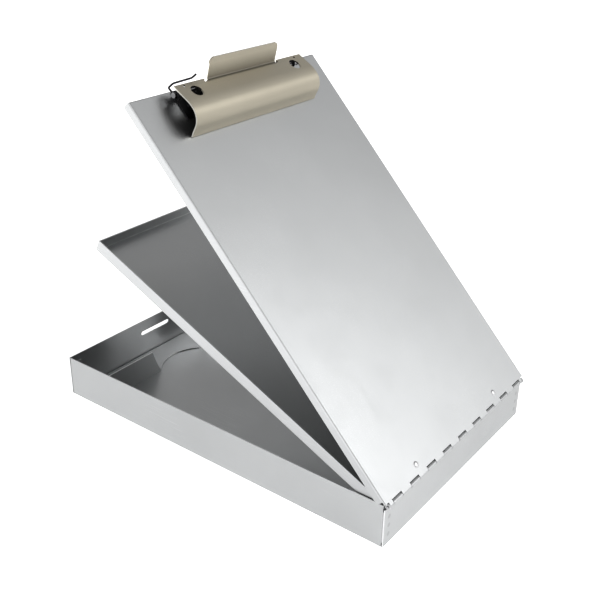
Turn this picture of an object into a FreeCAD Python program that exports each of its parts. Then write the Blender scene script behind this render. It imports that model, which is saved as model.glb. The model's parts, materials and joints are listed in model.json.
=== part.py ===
import FreeCAD, Part
import math
import os

# Storage clipboard in folded aluminium sheet: a deep box, a shallow tray and a writing lid that all
# turn on one hinge pin, a sprung paper clip on the lid and a sprung latch that hooks into the box.
#
# Frame: origin at the centre of the box's underside, +X across the width, +Y from the hinge to the
# clip, +Z up. Everything is drawn with the lid and the tray shut, then each leaf is turned to the
# angle that it stands open at rest. On a leaf, "along" is the distance from the hinge axis towards
# the clip and "above" the height over the hinge axis. On the lid, "height" is over its top face.

# Sheet and box
SHEET = 1.0
BEND = 1.5
BOX_WIDTH = 235.0
BOX_LENGTH = 357.0
RIM_HEIGHT = 40.0
CORNER_SEAM = 0.8
CORNER_TAB = (12.0, 4.0, 33.0)
SLOT_LENGTH = 39.6
SLOT_LOW = 23.8
SLOT_HIGH = 28.3

# Hinge
PIN_RADIUS = 1.0
RUNNING_GAP = 0.06
KNUCKLE_PITCH = 25.8
BOX_KNUCKLES = 9
KNUCKLE_GAP = 0.45
KNUCKLE_WRAP = 272.0
PIN_HALF_LENGTH = 117.2
HINGE_HEIGHT = 39.25
TRAY_OPEN = 24.41
LID_OPEN = 46.53

# Tray rest rail. Its window is given as (half width, height) at the top, the middle and the foot.
RAIL_Y = 140.0
RAIL_HEIGHT = 27.0
RAIL_BACK = 176.0
RAIL_OFF_FLOOR = 0.02
WINDOW = ((40.6, 27.0), (35.8, 13.5), (29.6, 0.0))
FOOT_ROUND_Y = 112.5

# Tray
TRAY_HALF_WIDTH = 115.8
TRAY_START = 4.3
TRAY_END = 331.1
TRAY_RIM = -0.67
TRAY_FLOOR = -11.97
EAR_RADIUS = 2.4

# Lid
LID_WIDTH = 238.0
LID_START = 2.7
LID_END = 364.4
LID_FLANGE = 7.5
STIFFENER = (-100.0, 100.0, 5.2, 14.5)
STIFFENER_RIVETS = ((-67.0, 9.6), (67.0, 9.6))
STIFFENER_CORNER = 2.0

# Rivets as (shank radius, head radius, dome height); every hole is a little larger than its shank
STIFFENER_RIVET = (1.5, 2.7, 0.9)
BASE_RIVET = (1.6, 3.1, 1.3)
RIVET_PLAY = 0.05
RIVET_TAIL_SHARE = 0.85
RIVET_TAIL_HEIGHT = 0.8

# Clip, in lid coordinates
CLIP_SHEET = 1.2
JAW_HALF_WIDTH = 81.5
JAW_BACK = (361.2, 13.0)
JAW_SLOPE = 16.0
JAW_TO_LIP = ((15.6, 30.0, 16.0), (0, 13.6, 73.0), (2.9, 24.0, -7.0), (2.9, 0, 0))
ROD_RADIUS = 1.5
ROD_ALONG = 357.0
ROD_ABOVE_FACE = 7.0
ROD_HALF_LENGTH = 79.6
ROD_HEAD = (2.3, 0.9)
ROD_EAR_RADIUS = 3.1
BASE_HALF_WIDTH = 74.2
BASE_START = 337.0
BASE_END = 362.8
BASE_RIVETS = ((-64.0, 348.5), (64.0, 348.5), (-22.0, 344.0), (22.0, 344.0))
JAW_HOLE_X = 64.0
JAW_HOLE_ALONG = 351.6
JAW_HOLE_RADIUS = 5.5
LUG_X = 52.0
LUG_RADIUS = 3.4
LUG_ROOT = (350.6, 360.2)
TAB_HALF_WIDTH = 44.0
TAB_ROOT = 2.4
TAB_RISE = 17.2
TAB_BEND = 2.1
TAB_LEAN = 57.7
TAB_CORNER = 5.0
RELIEF_RADIUS = 1.2
RELIEF_SLIT = 2.6
WIRE_HOLE = (71.4, 359.0, 1.1)
CLIP_COIL = (37.0, 50.0)
CLIP_COIL_RADII = (1.75, 3.05)
CLIP_WIRE = 0.55
CLIP_WIRE_BEND = 1.4
ARM_WIRE = 0.8
ARM_BEND = 1.7
ARM_EYE_X = -76.9
ARM_BACK = 364.0

# Latch, in lid coordinates. The latch, the slot and the rail's window share one centre, LATCH_X.
LATCH_X = -4.4
LATCH_SHEET = 0.8
LATCH_PIN_RADIUS = 0.8
LATCH_ALONG = 360.5
LATCH_ABOVE = -3.2
LATCH_HALF_WIDTH = 18.8
LATCH_EAR_X = 19.5
LIP_TOP_DROP = 10.4
HOOK_HALF_WIDTH = 14.5
HOOK_DEPTH = 4.4
HOOK_PLAY = 0.4
LATCH_COIL_HALF = 5.6

KNUCKLE_INNER = PIN_RADIUS + RUNNING_GAP
KNUCKLE_OUTER = KNUCKLE_INNER + SHEET
HALF_WIDTH = BOX_WIDTH / 2
HALF_LENGTH = BOX_LENGTH / 2
HINGE_Y = -HALF_LENGTH - KNUCKLE_INNER
LID_FACE = KNUCKLE_OUTER
LID_HALF_WIDTH = LID_WIDTH / 2
KNUCKLE_WIDTH = KNUCKLE_PITCH / 2 - KNUCKLE_GAP
HINGE_NOTCH = -2.9

X_AXIS = FreeCAD.Vector(1, 0, 0)
Z_AXIS = FreeCAD.Vector(0, 0, 1)


def block(x_span, y_span, z_span):
    """Solid box between two values on each axis."""
    corner = FreeCAD.Vector(x_span[0], y_span[0], z_span[0])
    size = (x_span[1] - x_span[0], y_span[1] - y_span[0], z_span[1] - z_span[0])
    return Part.makeBox(*size, corner)


def leaf_block(x_span, along, above):
    """Solid box placed from the hinge axis."""
    return block(x_span, (HINGE_Y + along[0], HINGE_Y + along[1]),
                 (HINGE_HEIGHT + above[0], HINGE_HEIGHT + above[1]))


def leaf_point(x, along, above):
    return FreeCAD.Vector(x, HINGE_Y + along, HINGE_HEIGHT + above)


def leaf_rod(x_span, along, above, radius):
    """Cylinder along X placed from the hinge axis."""
    return Part.makeCylinder(radius, x_span[1] - x_span[0], leaf_point(x_span[0], along, above), X_AXIS)


def mirrored(shape):
    """The same shape on the other side of the clipboard's centre plane."""
    return shape.mirror(FreeCAD.Vector(0, 0, 0), X_AXIS)


def bent_strip(x_span, start, heading, bends, thickness):
    """Sheet strip seen edge-on, running through bends given as (straight, turn radius, turn angle).

    start is the middle of the sheet at its first edge, as (along, above); heading is in degrees from
    the along direction; a positive turn is anticlockwise. The outline is extruded across X.
    """
    x_low, x_high = x_span
    half = thickness / 2
    place, angle = start, math.radians(heading)
    sides = {half: [], -half: []}

    def offset(point, direction, distance):
        return leaf_point(x_low, point[0] - math.sin(direction) * distance,
                          point[1] + math.cos(direction) * distance)

    for straight, radius, turn in bends:
        if straight:
            end = (place[0] + math.cos(angle) * straight, place[1] + math.sin(angle) * straight)
            for side, edges in sides.items():
                edges.append(Part.makeLine(offset(place, angle, side), offset(end, angle, side)))
            place = end
        if turn:
            sweep = math.radians(turn)
            reach = math.copysign(radius, turn)
            centre = (place[0] - math.sin(angle) * reach, place[1] + math.cos(angle) * reach)
            middle, final = angle + sweep / 2, angle + sweep
            for side, edges in sides.items():
                points = [offset(centre, a, side - reach) for a in (angle, middle, final)]
                edges.append(Part.Arc(*points).toShape())
            place = (centre[0] + math.sin(final) * reach, centre[1] - math.cos(final) * reach)
            angle = final
    near = offset(place, angle, half), offset(place, angle, -half)
    first = offset(start, math.radians(heading), -half), offset(start, math.radians(heading), half)
    edges = sides[half] + [Part.makeLine(*near)] + sides[-half][::-1] + [Part.makeLine(*first)]
    face = Part.Face(Part.Wire(Part.__sortEdges__(edges)))
    return face.extrude(FreeCAD.Vector(x_high - x_low, 0, 0))


def at_latch(shape):
    """The shape moved from the clipboard's centre plane to the latch's own centre."""
    return shape.translated(FreeCAD.Vector(LATCH_X, 0, 0))


def edges_where(shape, test):
    """Edges whose two end points both pass the test."""
    return [edge for edge in shape.Edges if all(test(vertex.Point) for vertex in edge.Vertexes)]


def folded_pan(x_span, y_span, z_span, bend_at_top=False):
    """Open pan of sheet with rounded folds along its base."""
    def shell(inset, radius):
        z_low, z_high = z_span
        base = z_high - inset if bend_at_top else z_low + inset
        far = z_low - 1 if bend_at_top else z_high + 1
        if not inset:
            far = z_low if bend_at_top else z_high
        body = block((x_span[0] + inset, x_span[1] - inset), (y_span[0] + inset, y_span[1] - inset),
                     (min(base, far), max(base, far)))
        return body.makeFillet(radius, edges_where(body, lambda p: abs(p.z - base) < 1e-6))
    return shell(0, BEND).cut(shell(SHEET, BEND - SHEET))


def knuckle_centres(count):
    return [(index - (count - 1) / 2) * KNUCKLE_PITCH for index in range(count)]


def upright(x, along, low, high, radius):
    """Cylinder square to the leaf between two heights over the hinge axis."""
    return Part.makeCylinder(radius, high - low, leaf_point(x, along, low), Z_AXIS)


def rivet(place, sizes, head_above, tail_above):
    """Rivet across a leaf: a domed head on top, a round shank and a flat tail below."""
    shank, head, dome_height = sizes
    sphere_radius = (head ** 2 + dome_height ** 2) / (2 * dome_height)
    dome = Part.makeSphere(sphere_radius, leaf_point(*place, head_above + dome_height - sphere_radius))
    dome = dome.common(upright(*place, head_above, head_above + dome_height, head + 1))
    body = upright(*place, tail_above, head_above, shank)
    tail = upright(*place, tail_above - RIVET_TAIL_HEIGHT, tail_above, head * RIVET_TAIL_SHARE)
    return dome.fuse([body, tail]).removeSplitter()


def rivet_holes(places, sizes, low, high):
    return [upright(*place, low, high, sizes[0] + RIVET_PLAY) for place in places]


def box_pan():
    """Deep box: floor, four folded walls, slot for the latch and nine knuckles on the front wall."""
    pan = folded_pan((-HALF_WIDTH, HALF_WIDTH), (-HALF_LENGTH, HALF_LENGTH), (0, RIM_HEIGHT))
    wall_inside = HALF_LENGTH - SHEET
    notch_height = HINGE_HEIGHT + HINGE_NOTCH
    front = block((-HALF_WIDTH, HALF_WIDTH), (-HALF_LENGTH, -wall_inside), (notch_height, RIM_HEIGHT))
    cuts = [front]
    for x in (-HALF_WIDTH, HALF_WIDTH - SHEET):
        for y in (-wall_inside, wall_inside - CORNER_SEAM):
            cuts.append(block((x, x + SHEET), (y, y + CORNER_SEAM), (BEND, RIM_HEIGHT)))
    slot_radius = (SLOT_HIGH - SLOT_LOW) / 2
    slot = at_latch(block((-SLOT_LENGTH / 2, SLOT_LENGTH / 2), (wall_inside - 1, HALF_LENGTH + 1),
                          (SLOT_LOW, SLOT_HIGH)))
    ends = [edge for edge in slot.Edges if abs(edge.Vertexes[0].Y - edge.Vertexes[1].Y) > SHEET]
    cuts.append(slot.makeFillet(slot_radius * 0.99, ends))
    pan = pan.cut(cuts)
    tab_width, tab_low, tab_high = CORNER_TAB
    tabs = []
    for y in (-wall_inside, wall_inside - SHEET):
        tab = block((-HALF_WIDTH + SHEET, -HALF_WIDTH + SHEET + tab_width), (y, y + SHEET),
                    (tab_low, tab_high))
        tabs += [tab, mirrored(tab)]
    wall_middle = KNUCKLE_INNER + SHEET / 2
    for x in knuckle_centres(BOX_KNUCKLES):
        span = (x - KNUCKLE_WIDTH / 2, x + KNUCKLE_WIDTH / 2)
        bends = [(-HINGE_NOTCH + 1, wall_middle, KNUCKLE_WRAP)]
        tabs.append(bent_strip(span, (wall_middle, HINGE_NOTCH - 1), 90, bends, SHEET))
    return pan.fuse(tabs).removeSplitter()


def tray_rest_rail():
    """Angle across the box that the shut tray rests on, its web cut away in the middle for a hand.

    The web stands at RAIL_Y and the foot lies on the floor behind it. The window in the web carries on
    into the foot as a round.
    """
    half = HALF_WIDTH - BEND
    low = SHEET + RAIL_OFF_FLOOR
    web = block((-half, half), (RAIL_Y, RAIL_Y + SHEET), (low, RAIL_HEIGHT))
    foot = block((-half, half), (RAIL_Y, RAIL_BACK), (low, low + SHEET))

    def corner(side, index):
        width, height = WINDOW[index]
        return FreeCAD.Vector(LATCH_X + side * width, RAIL_Y - 1, height)

    flanks = [Part.Arc(corner(side, 0), corner(side, 1), corner(side, 2)).toShape() for side in (-1, 1)]
    across = [Part.makeLine(corner(-1, index), corner(1, index)) for index in (0, 2)]
    outline = Part.Wire([flanks[0], across[1], flanks[1], across[0]])
    window = Part.Face(outline).extrude(FreeCAD.Vector(0, 2 + SHEET, 0))
    foot_round = Part.makeCylinder(math.hypot(WINDOW[2][0], RAIL_Y - FOOT_ROUND_Y), RAIL_HEIGHT,
                                   FreeCAD.Vector(LATCH_X, FOOT_ROUND_Y, 0), Z_AXIS)
    under_web = block((-half, half), (0, RAIL_Y), (0, RAIL_HEIGHT))
    return web.fuse(foot).cut([window, foot_round.cut(under_web)]).removeSplitter()


def hinge_pin():
    """One steel pin through every knuckle and both tray ears."""
    pin = leaf_rod((-PIN_HALF_LENGTH, PIN_HALF_LENGTH), 0, 0, PIN_RADIUS)
    return pin.makeChamfer(0.3, [edge for edge in pin.Edges if len(edge.Vertexes) == 1])


def tray_pan():
    """Shallow tray with an ear on each side wall that turns on the hinge pin."""
    pan = folded_pan((-TRAY_HALF_WIDTH, TRAY_HALF_WIDTH), (HINGE_Y + TRAY_START, HINGE_Y + TRAY_END),
                     (HINGE_HEIGHT + TRAY_FLOOR, HINGE_HEIGHT + TRAY_RIM))
    span = (TRAY_HALF_WIDTH - SHEET, TRAY_HALF_WIDTH)
    neck_top = 0.4
    neck = leaf_block(span, (0, TRAY_START + BEND), (-EAR_RADIUS, neck_top))
    ear = leaf_rod(span, 0, 0, EAR_RADIUS).fuse(neck)
    ear = ear.cut(leaf_rod((span[0] - 1, span[1] + 1), 0, 0, KNUCKLE_INNER))
    return pan.fuse([ear, mirrored(ear)]).removeSplitter()


def lid_knuckles():
    """Ten curls on the lid's hinge edge; the two end ones stop short of the tray's ears."""
    middle = KNUCKLE_INNER + SHEET / 2
    end_limit = TRAY_HALF_WIDTH - SHEET - KNUCKLE_GAP
    curls = []
    for x in knuckle_centres(BOX_KNUCKLES + 1):
        span = (max(x - KNUCKLE_WIDTH / 2, -end_limit), min(x + KNUCKLE_WIDTH / 2, end_limit))
        bends = [(LID_START + 1, middle, KNUCKLE_WRAP)]
        curls.append(bent_strip(span, (LID_START + 1, middle), 180, bends, SHEET))
    return curls


def lid_panel():
    """Writing lid: a flat sheet with folded edges, hinge curls and two ears that carry the latch."""
    run_out = 10.0
    heel = 5.5
    width = (-LID_HALF_WIDTH, LID_HALF_WIDTH)
    low = LID_FACE - LID_FLANGE
    panel = folded_pan(width, (HINGE_Y + LID_START - run_out, HINGE_Y + LID_END),
                       (HINGE_HEIGHT + low, HINGE_HEIGHT + LID_FACE), bend_at_top=True)
    cuts = [leaf_block(width, (LID_START - run_out, LID_START), (low, LID_FACE)),
            leaf_block(width, (LID_START, heel), (low, KNUCKLE_INNER))]
    cuts += rivet_holes(BASE_RIVETS, BASE_RIVET, 0, LID_FACE + 1)
    cuts += rivet_holes(STIFFENER_RIVETS, STIFFENER_RIVET, 0, LID_FACE + 1)
    ear_span = (LATCH_EAR_X, LATCH_EAR_X + SHEET)
    ear = leaf_block(ear_span, (LATCH_ALONG - 2.0, LID_END - SHEET / 2), (low, KNUCKLE_INNER + SHEET / 2))
    ears = [at_latch(ear), at_latch(mirrored(ear))]
    pin_hole = at_latch(leaf_rod((-LATCH_EAR_X - 2, LATCH_EAR_X + 2), LATCH_ALONG, LATCH_ABOVE,
                                 LATCH_PIN_RADIUS + RUNNING_GAP))
    return panel.cut(cuts).fuse(lid_knuckles() + ears).cut(pin_hole).removeSplitter()


def hinge_stiffener():
    """Flat strip under the lid that stiffens its hinge edge."""
    x_low, x_high, start, end = STIFFENER
    strip = leaf_block((x_low, x_high), (start, end), (KNUCKLE_INNER - SHEET, KNUCKLE_INNER))
    corners = [edge for edge in strip.Edges if abs(edge.Vertexes[0].Z - edge.Vertexes[1].Z) > SHEET / 2]
    strip = strip.makeFillet(STIFFENER_CORNER, corners)
    return strip.cut(rivet_holes(STIFFENER_RIVETS, STIFFENER_RIVET, -SHEET, 2 * SHEET))


def stiffener_rivets():
    return [rivet(place, STIFFENER_RIVET, LID_FACE, KNUCKLE_INNER - SHEET) for place in STIFFENER_RIVETS]


def on_face(height):
    """Height over the lid's top face, turned into a height over the hinge axis."""
    return LID_FACE + height


def clip_base():
    """Plate riveted to the lid, with an ear at each end for the clip's rod."""
    plate = leaf_block((-BASE_HALF_WIDTH, BASE_HALF_WIDTH), (BASE_START, BASE_END),
                       (on_face(0), on_face(CLIP_SHEET)))
    span = (BASE_HALF_WIDTH - CLIP_SHEET, BASE_HALF_WIDTH)
    ear = leaf_rod(span, ROD_ALONG, on_face(ROD_ABOVE_FACE), ROD_EAR_RADIUS)
    ear = ear.fuse(leaf_block(span, (ROD_ALONG - ROD_EAR_RADIUS, ROD_ALONG + ROD_EAR_RADIUS),
                              (on_face(0), on_face(ROD_ABOVE_FACE))))
    base = plate.fuse([ear, mirrored(ear)])
    rod_hole = leaf_rod((-BASE_HALF_WIDTH - 1, BASE_HALF_WIDTH + 1), ROD_ALONG, on_face(ROD_ABOVE_FACE),
                        ROD_RADIUS + RUNNING_GAP)
    holes = rivet_holes(BASE_RIVETS, BASE_RIVET, on_face(-1), on_face(CLIP_SHEET + 1))
    return base.cut(holes + [rod_hole]).removeSplitter()


def clip_base_rivets():
    return [rivet(place, BASE_RIVET, on_face(CLIP_SHEET), KNUCKLE_INNER) for place in BASE_RIVETS]


def clip_rod():
    """Steel rod that the jaw turns on, with its ends headed over."""
    centre = (ROD_ALONG, on_face(ROD_ABOVE_FACE))
    head_radius, head_length = ROD_HEAD
    rod = leaf_rod((-ROD_HALF_LENGTH, ROD_HALF_LENGTH), *centre, ROD_RADIUS)
    cap = leaf_rod((ROD_HALF_LENGTH, ROD_HALF_LENGTH + head_length), *centre, head_radius)
    return rod.fuse([cap, mirrored(cap)]).removeSplitter()


def jaw_height(along):
    """Height over the lid's face of the middle of the jaw's sheet, on its straight back part."""
    return JAW_BACK[1] + (JAW_BACK[0] - along) * math.tan(math.radians(JAW_SLOPE))


def lever_tab():
    """Thumb lever: the middle of the jaw's back edge, bent up, with rounded corners."""
    root = JAW_BACK[0] - TAB_ROOT - 1
    bends = [(1, TAB_BEND, JAW_SLOPE + TAB_LEAN), (TAB_RISE, 0, 0)]
    lever = bent_strip((-TAB_HALF_WIDTH, TAB_HALF_WIDTH), (root, on_face(jaw_height(root))), -JAW_SLOPE,
                       bends, CLIP_SHEET)
    top = max(vertex.Point.z for vertex in lever.Vertexes)
    corners = [edge for edge in lever.Edges
               if abs(edge.Length - CLIP_SHEET) < 0.01 and max(v.Z for v in edge.Vertexes) > top - 0.01]
    return lever.makeFillet(TAB_CORNER, corners)


def hinge_lug():
    """Right-hand lug under the jaw, pierced for the clip's rod."""
    root_front, root_back = LUG_ROOT
    outline = [(root_front, jaw_height(root_front)), (root_back, jaw_height(root_back)),
               (root_back, ROD_ABOVE_FACE), (ROD_ALONG - LUG_RADIUS, ROD_ABOVE_FACE)]
    points = [leaf_point(LUG_X, along, on_face(height)) for along, height in outline]
    web = Part.Face(Part.makePolygon(points + points[:1])).extrude(FreeCAD.Vector(CLIP_SHEET, 0, 0))
    boss = leaf_rod((LUG_X, LUG_X + CLIP_SHEET), ROD_ALONG, on_face(ROD_ABOVE_FACE), LUG_RADIUS)
    return web.fuse(boss)


def clip_jaw():
    """Pressed jaw: a domed front that ends in the gripping lip, hinge lugs and the thumb lever."""
    shell = bent_strip((-JAW_HALF_WIDTH, JAW_HALF_WIDTH), (JAW_BACK[0], on_face(JAW_BACK[1])),
                       180 - JAW_SLOPE, JAW_TO_LIP, CLIP_SHEET)
    low, high = on_face(CLIP_SHEET), on_face(ROD_ABOVE_FACE * 3)
    tab_root = JAW_BACK[0] - TAB_ROOT
    past_back = JAW_BACK[0] + SHEET
    notch_half = TAB_HALF_WIDTH + RELIEF_SLIT
    hole_x, hole_along, hole_radius = WIRE_HOLE
    cuts = [leaf_block((-notch_half, notch_half), (tab_root, past_back), (low, high))]
    for side in (-1, 1):
        cuts.append(upright(side * notch_half, tab_root, low, high, RELIEF_RADIUS))
        cuts.append(upright(side * hole_x, hole_along, low, high, hole_radius))
        cuts.append(upright(side * JAW_HOLE_X, JAW_HOLE_ALONG, low, high, JAW_HOLE_RADIUS))
    lug = hinge_lug()
    rod_hole = leaf_rod((-JAW_HALF_WIDTH, JAW_HALF_WIDTH), ROD_ALONG, on_face(ROD_ABOVE_FACE),
                        ROD_RADIUS + RUNNING_GAP)
    jaw = shell.cut(cuts).fuse([lug, mirrored(lug), lever_tab()])
    return jaw.cut(rod_hole).removeSplitter()


def wire_path(points, radius, bend):
    """Round wire through points, with every corner bent to the same radius."""
    edges, last = [], points[0]
    for before, corner, after in zip(points, points[1:], points[2:]):
        inward, outward = (before - corner).normalize(), (after - corner).normalize()
        half = math.acos(max(-1.0, min(1.0, inward.dot(outward)))) / 2
        back_off = bend / math.tan(half)
        enter, leave = corner + inward * back_off, corner + outward * back_off
        bisector = (inward + outward).normalize()
        top = corner + bisector * (bend / math.sin(half) - bend)
        edges.append(Part.makeLine(last, enter))
        edges.append(Part.Arc(enter, top, leave).toShape())
        last = leave
    edges.append(Part.makeLine(last, points[-1]))
    section = Part.Wire(Part.makeCircle(radius, points[0], points[1] - points[0]))
    return Part.Wire(edges).makePipeShell([section], True, True)


def jaw_spring():
    """Torsion spring on the clip's rod: close coils, and two legs behind it that push base and jaw apart."""
    low, high = CLIP_COIL
    inner, outer = CLIP_COIL_RADII
    mean = (inner + outer) / 2
    sleeve = leaf_rod((low, high), ROD_ALONG, on_face(ROD_ABOVE_FACE), outer)
    sleeve = sleeve.cut(leaf_rod((low - 1, high + 1), ROD_ALONG, on_face(ROD_ABOVE_FACE), inner))
    base_x, jaw_x = low + CLIP_WIRE, high - CLIP_WIRE
    base_leg = [(base_x, ROD_ALONG + 0.2, ROD_ABOVE_FACE - mean), (base_x, 359.0, ROD_ABOVE_FACE - mean),
                (base_x, 361.6, CLIP_SHEET + CLIP_WIRE + 0.1)]
    jaw_leg = [(jaw_x, ROD_ALONG + 0.2, ROD_ABOVE_FACE + mean), (jaw_x, 358.6, ROD_ABOVE_FACE + mean),
               (jaw_x, 360.6, jaw_height(360.6) - CLIP_SHEET / 2 - CLIP_WIRE - 0.1)]
    spring = sleeve
    for leg in (base_leg, jaw_leg):
        points = [leaf_point(x, along, on_face(height)) for x, along, height in leg]
        spring = spring.fuse(wire_path(points, CLIP_WIRE, CLIP_WIRE_BEND))
    return spring


def jaw_spring_arm():
    """Outer arm of the left spring: from an eye on the rod's end, round the jaw's back edge."""
    eye_mean = ROD_RADIUS + 0.3 + ARM_WIRE
    centre = leaf_point(ARM_EYE_X, ROD_ALONG, on_face(ROD_ABOVE_FACE))
    eye = Part.makeTorus(eye_mean, ARM_WIRE, centre, X_AXIS)
    low = ROD_ABOVE_FACE - eye_mean
    route = [(ARM_EYE_X, ROD_ALONG, low), (ARM_EYE_X, ARM_BACK - 3.0, low), (-81.0, ARM_BACK, 7.6),
             (-79.6, ARM_BACK, 13.2), (-59.4, ARM_BACK, 14.4), (-57.6, ARM_BACK, 19.2)]
    points = [leaf_point(x, along, on_face(height)) for x, along, height in route]
    return eye.fuse(wire_path(points, ARM_WIRE, ARM_BEND))


def latch_plate():
    """Sprung latch: two curls on its pin, a finger lip below and a hook for the box's slot."""
    curl = LATCH_PIN_RADIUS + RUNNING_GAP + LATCH_SHEET / 2
    plate_along = LATCH_ALONG - curl
    plate_top = LATCH_ABOVE - 2.6
    bends = [(LIP_TOP_DROP, 3.0, 50.0), (2.4, 0, 0)]
    plate = bent_strip((-LATCH_HALF_WIDTH, LATCH_HALF_WIDTH), (plate_along, plate_top), -90, bends,
                       LATCH_SHEET)
    curls = []
    for span in ((LATCH_COIL_HALF + 0.7, LATCH_HALF_WIDTH), (-LATCH_HALF_WIDTH, -LATCH_COIL_HALF - 0.7)):
        curls.append(bent_strip(span, (plate_along, plate_top - 1), 90,
                                [(LATCH_ABOVE - plate_top + 1, curl, -280.0)], LATCH_SHEET))
    hook_top = SLOT_HIGH - HOOK_PLAY - HINGE_HEIGHT
    hook = leaf_block((-HOOK_HALF_WIDTH, HOOK_HALF_WIDTH), (plate_along - HOOK_DEPTH, plate_along),
                      (hook_top - LATCH_SHEET, hook_top))
    return at_latch(plate.fuse(curls + [hook]).removeSplitter())


def latch_pin():
    half = LATCH_EAR_X + SHEET + 0.8
    return at_latch(leaf_rod((-half, half), LATCH_ALONG, LATCH_ABOVE, LATCH_PIN_RADIUS))


def latch_spring():
    """Small torsion spring that pulls the latch's hook towards the box."""
    inner, outer = LATCH_PIN_RADIUS + 0.1, LATCH_PIN_RADIUS + 0.7
    sleeve = leaf_rod((-LATCH_COIL_HALF, LATCH_COIL_HALF), LATCH_ALONG, LATCH_ABOVE, outer)
    sleeve = sleeve.cut(leaf_rod((-LATCH_HALF_WIDTH, LATCH_HALF_WIDTH), LATCH_ALONG, LATCH_ABOVE, inner))
    return at_latch(sleeve)


def turned(shapes, degrees):
    """Copies of the shapes turned open about the hinge axis."""
    result = []
    for shape in shapes:
        leaf = shape.copy()
        leaf.rotate(leaf_point(0, 0, 0), X_AXIS, degrees)
        result.append(leaf)
    return result


def assembly():
    """Every sub-part's solids by name, with the lid and the tray at their rest angles."""
    box = {"box_pan": [box_pan()], "tray_rest_rail": [tray_rest_rail()], "hinge_pin": [hinge_pin()]}
    tray = {"tray_pan": [tray_pan()]}
    right_spring = jaw_spring()
    lid = {"lid_panel": [lid_panel()], "hinge_stiffener": [hinge_stiffener()],
           "stiffener_rivets": stiffener_rivets(), "clip_base": [clip_base()],
           "clip_base_rivets": clip_base_rivets(), "clip_rod": [clip_rod()],
           "jaw_spring_right": [right_spring], "jaw_spring_left": [mirrored(right_spring)],
           "clip_jaw": [clip_jaw()], "jaw_spring_arm": [jaw_spring_arm()],
           "latch_plate": [latch_plate()], "latch_pin": [latch_pin()], "latch_spring": [latch_spring()]}
    parts = dict(box)
    parts.update({name: turned(shapes, TRAY_OPEN) for name, shapes in tray.items()})
    parts.update({name: turned(shapes, LID_OPEN) for name, shapes in lid.items()})
    return parts


os.makedirs("parts", exist_ok=True)
for node, shapes in assembly().items():
    shape = shapes[0] if len(shapes) == 1 else Part.makeCompound(shapes)
    box = shape.BoundBox
    print(node, shape.isValid(), len(shape.Solids), round(shape.Volume, 1),
          [round(v, 1) for v in (box.XMin, box.XMax, box.YMin, box.YMax, box.ZMin, box.ZMax)])
    shape.exportStep("parts/" + node + ".step")
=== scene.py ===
import json
import math

import bmesh
import bpy
from mathutils import Matrix, Vector


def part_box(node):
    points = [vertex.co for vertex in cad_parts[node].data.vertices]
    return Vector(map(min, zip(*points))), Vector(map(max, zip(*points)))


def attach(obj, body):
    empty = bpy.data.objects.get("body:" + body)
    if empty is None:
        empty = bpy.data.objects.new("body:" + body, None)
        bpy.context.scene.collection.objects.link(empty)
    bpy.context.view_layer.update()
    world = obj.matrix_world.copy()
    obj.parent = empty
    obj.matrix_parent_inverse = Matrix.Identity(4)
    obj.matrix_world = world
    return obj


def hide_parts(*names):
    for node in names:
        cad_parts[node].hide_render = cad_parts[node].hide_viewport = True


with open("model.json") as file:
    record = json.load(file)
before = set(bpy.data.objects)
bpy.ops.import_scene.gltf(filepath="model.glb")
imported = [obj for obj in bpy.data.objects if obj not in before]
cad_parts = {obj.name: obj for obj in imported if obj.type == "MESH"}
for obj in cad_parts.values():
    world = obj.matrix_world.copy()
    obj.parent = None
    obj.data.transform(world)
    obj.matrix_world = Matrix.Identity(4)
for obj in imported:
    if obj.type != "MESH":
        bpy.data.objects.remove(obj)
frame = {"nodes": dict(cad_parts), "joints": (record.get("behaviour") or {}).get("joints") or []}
bpy.context.view_layer.update()
nodes = frame["nodes"]

# ---- Box ----
# The body is one millimetre of rolled aluminium, folded up on four sides and left bare. Rolling leaves
# fine lines along the sheet under a cloudy satin skin. Its sheared and eased edges are coloured lighter,
# partly for the bare cut metal and partly as a painted highlight.
# The tabs at its corners are spot-welded to the end walls, which leaves small round marks.

SHEET = 0.001
CURL_INSIDE = 0.00106
SHARP_EDGE = math.radians(35)
SHARP_RIM = math.radians(50)
SAME_FACE = math.radians(0.5)
SAME_POINT = 0.00002
EASED_EDGE = 0.00015
SHEARED_SQUARE, SHEARED_NARROW = 0.8, 0.65
FLAT_PLACE = "flat_place"
BARE_ALUMINIUM = (0.56, 0.568, 0.572)
# Lighter colour for sheared and eased edges: partly bare cut metal, partly a painted highlight.
SHEARED_EDGE_HIGHLIGHT = (0.86, 0.865, 0.87)
WELD_COLOUR = (0.5, 0.505, 0.51)
SCRATCH_WIDTH, SCRATCH_LENGTH = 0.0003, 0.03
SCRATCH_TURNS = (0.35, 1.2, 2.5)
SCRATCHED_PATCHES = 14.0
SCRATCH_SHINE, SCRATCH_POLISH, SCRATCH_DEPTH = 1.12, -0.06, 0.6
LINE_SATIN, SMUDGE_DULLING = 0.03, 0.035
# How dark painted shade in a fold makes the metal.
PAINTED_SHADE_FACTOR = 0.22
RELIEF = 0.35


def new_group(name, inputs, outputs):
    """An empty shader group with its sockets: inputs as (name, type, default), outputs as names."""
    group = bpy.data.node_groups.new(name, "ShaderNodeTree")
    for label, kind, default in inputs:
        socket = group.interface.new_socket(label, in_out="INPUT", socket_type=kind)
        if default is not None:
            socket.default_value = default
    for label in outputs:
        group.interface.new_socket(label, in_out="OUTPUT", socket_type="NodeSocketFloat")
    entry, leave = group.nodes.new("NodeGroupInput"), group.nodes.new("NodeGroupOutput")
    return group, entry.outputs, leave.inputs


def maths(tree, operation, first, second):
    """A Math node's result; each operand is a socket or a number."""
    node = tree.nodes.new("ShaderNodeMath")
    node.operation = operation
    for socket, value in zip(node.inputs, (first, second)):
        if isinstance(value, (int, float)):
            socket.default_value = value
        else:
            tree.links.new(value, socket)
    return node.outputs[0]


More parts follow.
